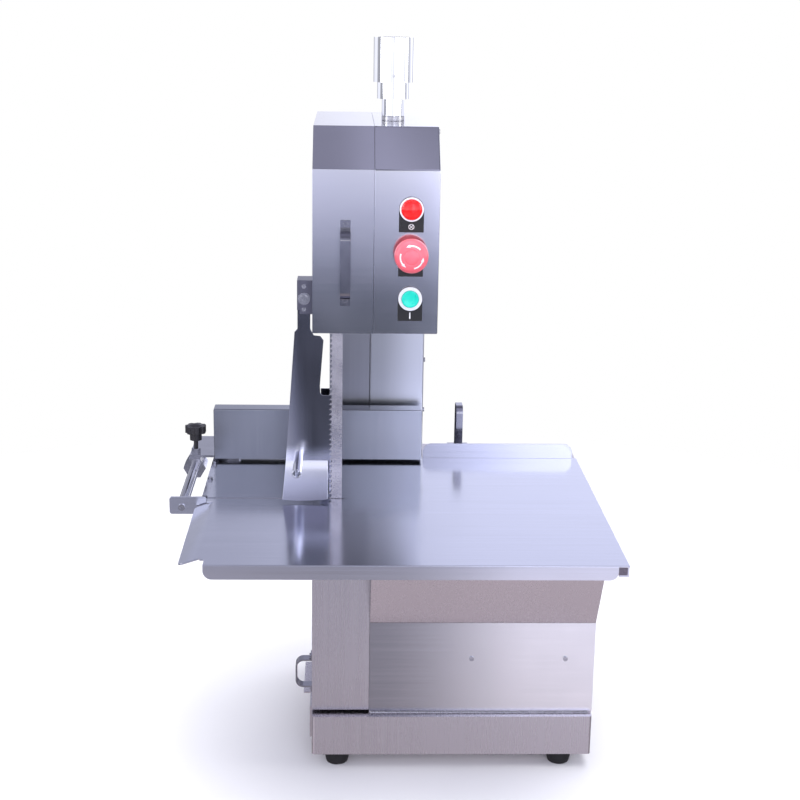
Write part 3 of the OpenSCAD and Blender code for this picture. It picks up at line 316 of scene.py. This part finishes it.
def rounded(node, material, small, bend):
    """A copy of a CAD node whose sharp edges are rounded: bends of the sheet more than cut edges."""
    bm = bmesh.new()
    bm.from_mesh(frame["nodes"][node].data)
    bmesh.ops.remove_doubles(bm, verts=bm.verts, dist=0.002 * MM)
    bmesh.ops.dissolve_limit(bm, angle_limit=math.radians(0.6), verts=bm.verts, edges=bm.edges)
    weights = bm.edges.layers.float.new("bevel_weight_edge")
    widest = max(small, bend)
    for edge in bm.edges:
        if len(edge.link_faces) != 2 or edge.calc_face_angle(0) < SHARP:
            continue
        fold = edge.is_convex and min(breadth(f) for f in edge.link_faces) > BROAD
        edge[weights] = (bend if fold else small) / widest
    piece = mesh_piece(node + "_skin", bm)
    bevel = piece.modifiers.new("round", "BEVEL")
    bevel.limit_method = "WEIGHT"
    bevel.width = widest * MM
    bevel.segments = 3
    bevel.use_clamp_overlap = True
    even = piece.modifiers.new("even", "WEIGHTED_NORMAL")
    even.mode = "FACE_AREA"
    even.weight = 90
    keep(piece, node, material)
    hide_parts(node)
    return piece


def lathe(name, profile, centre, axis, steps=96):
    """A surface turned from (radius, height) points, with its heights along an axis from centre."""
    bm = bmesh.new()
    turn = Vector((0, 0, 1)).rotation_difference(Vector(axis)).to_matrix()
    rings = []
    for radius, height in profile:
        angles = [i * math.tau / steps for i in range(steps if radius > 0 else 1)]
        rings.append([
            bm.verts.new(centre + turn @ Vector((radius * math.cos(a), radius * math.sin(a), height)) * MM)
            for a in angles])
    for low, high in zip(rings, rings[1:]):
        for i in range(steps):
            j = (i + 1) % steps
            corners = [low[i % len(low)], low[j % len(low)], high[j % len(high)], high[i % len(high)]]
            bm.faces.new(list(dict.fromkeys(corners)))
    return mesh_piece(name, bm)


def fillet(x, y, radius, start, end, count=6):
    """Points of an arc in a lathe's profile, from start to end degrees."""
    turns = [math.radians(start + (end - start) * i / count) for i in range(count + 1)]
    return [(x + radius * math.cos(a), y + radius * math.sin(a)) for a in turns]


# ---------- the blade ----------


def build_blade():
    """The whole toothed loop: both straight runs and both arcs over the wheels."""
    pitch = 6.35
    gullet = 0.55 * pitch
    half = BLADE_T / 2
    size = (BLADE_HIGH - BLADE_LOW) / MM
    radius = size.y / 2 - BLADE_T / 2
    span = size.z - size.y
    length = 2 * span + math.tau * radius
    teeth = round(length / pitch)
    tooth = [(0.0, 0.0), (0.10, 0.9), (0.35, 1.0), (0.60, 0.8), (0.97, 0.0)]
    low_z = (BLADE_LOW.z + BLADE_HIGH.z) / 2 / MM - span / 2

    def place(s, x, out):
        """The point at s along the loop, which starts at the foot of the cutting run."""
        r = radius + out
        if s < span:
            return at(x, radius - r, low_z + span - s)
        s -= span
        if s < math.pi * radius:
            a = s / radius
            return at(x, radius - r * math.cos(a), low_z - r * math.sin(a))
        s -= math.pi * radius
        if s < span:
            return at(x, radius + r, low_z + s)
        a = (s - span) / radius
        return at(x, radius + r * math.cos(a), low_z + span + r * math.sin(a))

    bm = bmesh.new()
    rows = []
    for i in range(teeth):
        for share, depth in tooth:
            s = (i + share) * length / teeth
            foot = depth * gullet
            section = ((foot, half), (size.x, half), (size.x, -half), (foot, -half))
            rows.append([bm.verts.new(place(s, x, out)) for x, out in section])
    for i, row in enumerate(rows):
        after = rows[(i + 1) % len(rows)]
        for k in range(4):
            bm.faces.new((row[k], row[(k + 1) % 4], after[(k + 1) % 4], after[k]))
    piece = mesh_piece("toothed_blade", bm, smooth=False)
    keep(piece, "band_blade", BLADE)
    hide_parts("band_blade")


# ---------- controls ----------


def control_centre(node):
    """The middle of a control, and the height of its front above it along -Y, in millimetres."""
    low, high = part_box(node)
    return Vector(((low.x + high.x) / 2, high.y, (low.z + high.z) / 2)), (high.y - low.y) / MM


def build_controls():
    front = (0, -1, 0)

    # Domed lamp lens with a rim
    centre, top = control_centre("lamp_lens")
    stem, rim = 9.9, 12
    lens = [(0, 0), (stem, 0), (stem, top - 7), (rim, top - 7), (rim, top - 4.4)]
    lens += [(rim - 0.5, top - 3.9), (11.2, top - 3.6), (9.5, top - 2.2)]
    lens += [(7, top - 1.1), (3.5, top - 0.3), (0, top)]
    piece = keep(lathe("lamp_dome", lens, centre, front), "lamp_lens", LENS)
    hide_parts("lamp_lens")

    # Mushroom stop button, with a raised middle inside a shallow ring
    centre, top = control_centre("estop_button")
    cap_h, arrow_h, stem = 15.4, 13.3, 8.2
    cap = top - cap_h
    shape = [(0, 0), (stem, 0), (stem, cap), (18.6, cap)]
    shape += fillet(18.6, cap + 1.4, 1.4, -90, 0)
    shape += [(19.6, cap + 7.5), (18.9, cap + 9.4), (17.6, cap + 10.9), (15.6, cap + 12.3), (13, cap + 13.5)]
    shape += [(10.6, cap + 14.2), (9.0, cap + 14.3), (8.5, cap + 14.15), (8.1, cap + 14.6), (7.6, cap + 15.0)]
    shape += [(4, cap + 15.3), (0, cap + cap_h)]
    piece = keep(lathe("stop_mushroom", shape, centre, front), "estop_button", RED)
    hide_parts("estop_button")
    first_arrow = 42
    for i in range(3):
        arrow = turn_arrow(centre + Vector((0, -(cap + arrow_h) * MM, 0)), first_arrow + i * 120)
        arrow.name = f"stop_arrow_{i + 1}"
        keep(arrow, "estop_button", PRINT)

    # Flush start button with a dished face
    centre, top = control_centre("start_button")
    shape = [(0, 0), (10, 0), (10, top - 1.8)] + fillet(9.3, top - 0.9, 0.7, -10, 80, 4)
    shape += [(8.2, top - 0.3), (4, top - 0.7), (0, top - 0.8)]
    piece = keep(lathe("start_cap", shape, centre, front), "start_button", GREEN)
    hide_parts("start_button")


def turn_arrow(centre, start):
    """A curved arrow that lies on the stop button's dome."""
    sweep, steps, radius, half = 78, 16, 13.2, 0.9
    bm = bmesh.new()

    def point(angle, r, lift):
        a = math.radians(angle)
        drop = (r - radius) * 0.48
        return centre + Vector((r * math.cos(a), drop - lift, r * math.sin(a))) * MM

    def width(i):
        """Half the stroke's width, which grows to a head and then closes."""
        left = steps - i
        return half * 2.0 * left / 4 if left <= 4 else half

    rows = []
    for i in range(steps + 1):
        angle = start + sweep * i / steps
        w = max(width(i), 0.05)
        rows.append([bm.verts.new(point(angle, radius + side * w, lift))
                     for side, lift in ((-1, 0.05), (-1, 0.35), (1, 0.35), (1, 0.05))])
    for low, high in zip(rows, rows[1:]):
        for k in range(4):
            bm.faces.new((low[k], low[(k + 1) % 4], high[(k + 1) % 4], high[k]))
    bm.faces.new(rows[0])
    bm.faces.new(rows[-1])
    return mesh_piece("turn_arrow", bm)


def ring_symbol(name, centre, outer, inner, thick=0.12):
    """A flat printed ring that faces the front."""
    profile = [(inner, 0), (outer, 0), (outer, thick), (inner, thick), (inner, 0)]
    return lathe(name, profile, centre, (0, -1, 0), 48)


def build_labels():
    """Plain symbols on the legend plates: a ring with a cross for the lamp and a bar for start."""
    low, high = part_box("legend_plates")
    x = (low.x + high.x) / 2
    face = low.y
    symbol_drop = 20.5
    for name in ("lamp_lens", "start_button"):
        centre, _ = control_centre(name)
        spot = Vector((x, face, centre.z - symbol_drop * MM))
        if name == "lamp_lens":
            keep(ring_symbol("lamp_ring", spot, 3.4, 2.7), "legend_plates", PRINT)
            for i in range(2):
                bar = symbol_bar(f"lamp_cross_{i + 1}", spot, 0.7, 5.4, 45 + 90 * i)
                keep(bar, "legend_plates", PRINT)
        else:
            keep(symbol_bar("start_bar", spot, 1.4, 7.5, 0), "legend_plates", PRINT)


def symbol_bar(name, centre, width, height, turn):
    bm = bmesh.new()
    bmesh.ops.create_cube(bm, size=1)
    rotate = Matrix.Rotation(math.radians(turn), 4, "Y")
    grow = Matrix.Diagonal((width * MM, 0.24 * MM, height * MM, 1))
    bmesh.ops.transform(bm, matrix=Matrix.Translation(centre) @ rotate @ grow, verts=bm.verts)
    return mesh_piece(name, bm, smooth=False)


# ---------- weld seam ----------


def build_weld():
    """A row of overlapping weld beads where the housing's front meets the base pan's top."""
    low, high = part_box("service_panel")
    pan_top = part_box("base_pan")[1].z
    step = 2.3 * MM
    inset = 3 * MM
    count = int((high.x - low.x - 2 * inset) / step)
    bm = bmesh.new()
    for i in range(count):
        wobble = math.sin(i * 2.1) * 0.25 + math.sin(i * 0.37) * 0.3
        back = high.y - (1.1 + 0.2 * wobble) * MM
        centre = Vector((low.x + inset + i * step, back, pan_top + 0.5 * MM))
        size = Matrix.Diagonal((2.0 * MM, 1.5 * MM, (1.4 + 0.3 * wobble) * MM, 1))
        bmesh.ops.create_icosphere(bm, subdivisions=2, radius=1,
                                   matrix=Matrix.Translation(centre) @ size)
    keep(mesh_piece("weld_seam", bm), "lower_housing", SCREWS)


# ---------- studio ----------


def build_camera():
    """The main view: from the front and slightly above, turned and tilted by a few degrees."""
    pitch, yaw, roll = (math.radians(a) for a in (14.78, 2.15, 0.93))
    forward = Vector((math.sin(yaw) * math.cos(pitch), math.cos(yaw) * math.cos(pitch), -math.sin(pitch)))
    right = Vector((math.cos(yaw), -math.sin(yaw), 0))
    up = right.cross(forward)
    side = right * math.cos(roll) + up * math.sin(roll)
    head = up * math.cos(roll) - right * math.sin(roll)
    data = bpy.data.cameras.new("camera")
    data.sensor_width = 36
    data.lens = 67.15
    data.clip_end = 50
    camera = bpy.data.objects.new("camera", data)
    camera.matrix_world = Matrix((side, head, -forward)).transposed().to_4x4()
    camera.matrix_world.translation = (-0.0490, -1.7857, 0.9342)
    bpy.context.scene.collection.objects.link(camera)
    bpy.context.scene.camera = camera


def ramp(tree, source, stops):
    made = add(tree, "ShaderNodeValToRGB")
    elements = made.color_ramp.elements
    while len(elements) < len(stops):
        elements.new(0.5)
    for element, (place, colour) in zip(elements, stops):
        element.position = place
        element.color = (*colour, 1)
    tree.links.new(source, made.inputs["Fac"])
    return made.outputs["Color"]


# The room's colour by the sine of the elevation, from straight down to straight up
ROOM = [
    (-1.0, (0.44, 0.39, 0.44)), (-0.60, (0.41, 0.37, 0.41)), (-0.45, (0.37, 0.335, 0.375)),
    (-0.38, (0.31, 0.295, 0.34)), (-0.33, (0.22, 0.23, 0.30)), (-0.275, (0.20, 0.21, 0.27)),
    (-0.25, (0.11, 0.12, 0.16)), (-0.225, (0.05, 0.06, 0.08)), (-0.205, (0.015, 0.02, 0.03)),
    (-0.19, (0.05, 0.06, 0.09)), (-0.175, (0.14, 0.155, 0.225)), (-0.158, (0.26, 0.28, 0.40)),
    (-0.141, (0.42, 0.44, 0.62)), (-0.107, (0.72, 0.74, 1.0)), (-0.06, (0.92, 0.93, 1.0)),
    (0.02, (0.96, 0.96, 1.0)), (0.06, (0.74, 0.75, 0.86)), (0.15, (0.66, 0.67, 0.80)),
    (0.28, (0.56, 0.58, 0.74)), (0.42, (0.44, 0.45, 0.58)), (0.66, (0.20, 0.20, 0.27)),
    (1.0, (0.175, 0.175, 0.24)),
]
# How bright the room is by compass direction: 0.5 is the front, 0.75 the right, and 0 and 1 the back
AROUND = [
    (0.0, 0.88), (0.012, 0.66), (0.035, 0.62), (0.07, 0.35), (0.11, 0.8), (0.19, 0.9), (0.215, 0.35),
    (0.275, 0.35), (0.30, 1.3), (0.45, 1.3), (0.461, 0.85), (0.470, 0.95), (0.481, 1.1),
    (0.495, 0.84), (0.505, 0.70), (0.510, 0.85), (0.5145, 1.6), (0.519, 2.6), (0.53, 2.8), (0.56, 1.4),
    (0.66, 1.1), (0.70, 0.5), (0.77, 0.5), (0.84, 1.1), (0.90, 0.40), (0.94, 1.2), (0.985, 1.15),
    (1.0, 0.88),
]
# Strength of the whole room, and how softly a dim part ends in height
ROOM_LEVEL = 1.54
RIM = 0.008
# Dim parts of the room: compass range, height range, softness of the sides, what is left of the light.
# They are the floor at the left, the camera on its stand, and the floor close by at the right.
DIM = [
    ((0.4865, 0.4940), (-0.275, -0.200), 0.0010, 0.1),
    ((0.4945, 0.5065), (0.08, 0.70), 0.0010, 0.4),
    ((0.5090, 0.5600), (-1.00, -0.45), 0.0040, 0.3),
]


def within(tree, source, low, high, soft):
    """1 between two values and 0 elsewhere, with soft rims."""
    rise = ranged(tree, source, 0, 1, low - soft, low)
    fall = ranged(tree, source, 1, 0, high, high + soft)
    return combine(tree, "MULTIPLY", rise, fall)


def build_world():
    world = bpy.data.worlds.new("studio")
    bpy.context.scene.world = world
    world.use_nodes = True
    tree = world.node_tree
    shade = tree.nodes["Background"]
    coord = add(tree, "ShaderNodeTexCoord")
    parts = add(tree, "ShaderNodeSeparateXYZ")
    tree.links.new(coord.outputs["Generated"], parts.inputs["Vector"])
    height = ranged(tree, parts.outputs["Z"], 0, 1, -1, 1)
    colour = ramp(tree, height, [((z + 1) / 2, c) for z, c in ROOM])
    turn = combine(tree, "ARCTAN2", parts.outputs["X"],
                   combine(tree, "MULTIPLY", parts.outputs["Y"], -1))
    turn = ranged(tree, turn, 0, 1, -math.pi, math.pi)
    most = max(v for _, v in AROUND)
    around = ramp(tree, turn, [(p, (v / most,) * 3) for p, v in AROUND])
    mixed = add(tree, "ShaderNodeMix", data_type="RGBA", blend_type="MULTIPLY")
    mixed.inputs[0].default_value = 1.0
    tree.links.new(colour, mixed.inputs[6])
    tree.links.new(around, mixed.inputs[7])
    tree.links.new(mixed.outputs[2], shade.inputs["Color"])
    level = ROOM_LEVEL * most
    for turns, heights, soft, left in DIM:
        share = combine(tree, "MULTIPLY", within(tree, turn, *turns, soft),
                        within(tree, parts.outputs["Z"], *heights, RIM))
        level = combine(tree, "MULTIPLY", level, ranged(tree, share, 1, left, 0, 1))
    tree.links.new(level, shade.inputs["Strength"])
    white = add(tree, "ShaderNodeBackground")
    white.inputs["Color"].default_value = (1, 1, 1, 1)
    path = add(tree, "ShaderNodeLightPath")
    pick = add(tree, "ShaderNodeMixShader")
    tree.links.new(path.outputs["Is Camera Ray"], pick.inputs[0])
    tree.links.new(shade.outputs["Background"], pick.inputs[1])
    tree.links.new(white.outputs["Background"], pick.inputs[2])
    tree.links.new(pick.outputs["Shader"], tree.nodes["World Output"].inputs["Surface"])


def build_floor():
    """A pale round floor whose rim fades into the white background."""
    bm = bmesh.new()
    bmesh.ops.create_circle(bm, cap_ends=True, segments=128, radius=1.6)
    floor = mesh_piece("floor", bm, smooth=False)
    material, tree, shader = new_material("floor_paper", (0.86, 0.86, 0.87), 0.9)
    shader.inputs["Specular IOR Level"].default_value = 0.0
    coord = add(tree, "ShaderNodeTexCoord")
    length = add(tree, "ShaderNodeVectorMath", operation="LENGTH")
    tree.links.new(coord.outputs["Object"], length.inputs[0])
    tree.links.new(ranged(tree, length.outputs["Value"], 1, 0, 0.75, 1.5), shader.inputs["Alpha"])
    floor.data.materials.append(material)
    floor.visible_glossy = False


def softbox(name, place, target, size, power, shiny=True):
    data = bpy.data.lights.new(name, "AREA")
    data.shape = "RECTANGLE"
    data.size, data.size_y = size
    data.energy = power
    light = bpy.data.objects.new(name, data)
    light.location = place
    light.rotation_euler = (Vector(target) - Vector(place)).to_track_quat("-Z", "Y").to_euler()
    light.visible_glossy = shiny
    bpy.context.scene.collection.objects.link(light)


def build_lights():
    middle = (0, 0, 0.45)
    softbox("overhead", (0, -0.2, 3.0), (0, 0, 0), (3.2, 3.2), 130, shiny=False)
    softbox("front_fill", (0, -3.0, 1.6), middle, (2.4, 1.6), 26, shiny=False)
    softbox("left_box", (-2.2, -0.6, 1.5), middle, (0.7, 1.8), 14)
    softbox("right_box", (2.2, -0.4, 1.3), middle, (0.7, 1.8), 14)


for name, (material, small, bend) in LOOKS.items():
    rounded(name, material, small, bend)
build_blade()
build_controls()
build_labels()
build_weld()
build_camera()
build_world()
build_floor()
build_lights()
bpy.context.scene.view_settings.view_transform = "Standard"
